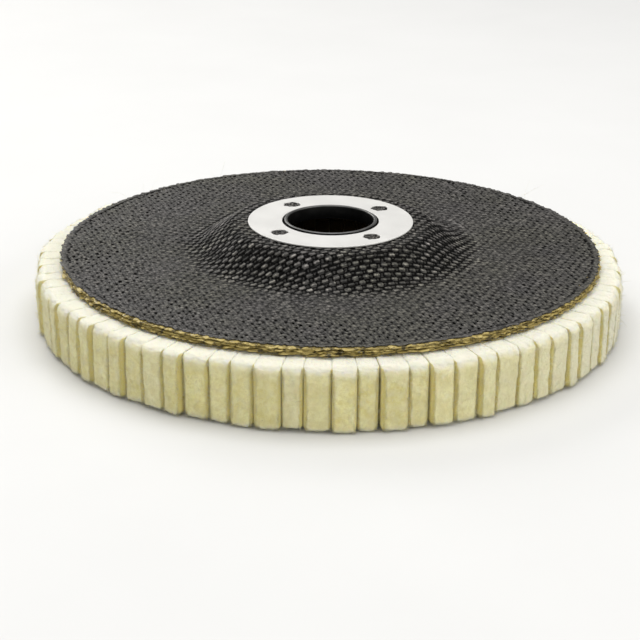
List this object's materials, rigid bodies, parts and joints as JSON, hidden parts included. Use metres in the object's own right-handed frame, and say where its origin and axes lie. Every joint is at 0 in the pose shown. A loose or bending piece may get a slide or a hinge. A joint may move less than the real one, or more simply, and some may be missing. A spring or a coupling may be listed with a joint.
{
  "type": "felt flap disc",
  "caption": "Dished polishing disc: wool-felt flaps on edge under a woven glass-fibre backing plate with a steel-lined arbor hole, for an angle grinder.",
  "frame": {"origin": "on the spindle axis, in the plane of the felt's working face", "axes": "+Z along the spindle axis, from the working face towards the raised hub; +X between the last flap and the first"},
  "size_m": [0.15, 0.1501, 0.0251],
  "materials": {
    "washer_steel": "bright zinc-plated, matte satin",
    "sleeve_steel": "plain pressed steel, satin",
    "black_weave": "black plain-weave glass cloth set in semi-gloss resin",
    "glass_fibre": "natural glass rovings set in tan resin, cut edge",
    "resin": "cured amber bonding resin",
    "felt": "dense cream wool felt, cut edges"
  },
  "bodies": {
    "root": {"hub_washer": "washer_steel", "arbor_sleeve": "sleeve_steel", "facing_ply": "black_weave", "glass_ply_upper": "glass_fibre", "glass_ply_middle": "glass_fibre", "glass_ply_lower": "glass_fibre", "adhesive_bed": "resin", "felt_flaps_01": "felt", "felt_flaps_02": "felt", "felt_flaps_03": "felt", "felt_flaps_04": "felt", "felt_flaps_05": "felt", "felt_flaps_06": "felt", "felt_flaps_07": "felt", "felt_flaps_08": "felt", "felt_flaps_09": "felt", "felt_flaps_10": "felt", "felt_flaps_11": "felt", "felt_flaps_12": "felt", "felt_flaps_13": "felt", "felt_flaps_14": "felt", "felt_flaps_15": "felt", "felt_flaps_16": "felt", "felt_flaps_17": "felt", "felt_flaps_18": "felt", "felt_flaps_19": "felt", "felt_flaps_20": "felt", "felt_flaps_21": "felt", "felt_flaps_22": "felt", "felt_flaps_23": "felt", "felt_flaps_24": "felt", "felt_flaps_25": "felt", "felt_flaps_26": "felt", "felt_flaps_27": "felt", "felt_flaps_28": "felt", "felt_flaps_29": "felt", "felt_flaps_30": "felt", "felt_flaps_31": "felt", "felt_flaps_32": "felt", "felt_flaps_33": "felt", "felt_flaps_34": "felt", "felt_flaps_35": "felt", "felt_flaps_36": "felt", "felt_flaps_37": "felt", "felt_flaps_38": "felt", "felt_flaps_39": "felt", "felt_flaps_40": "felt", "felt_flaps_41": "felt", "felt_flaps_42": "felt"}
  },
  "joints": []
}
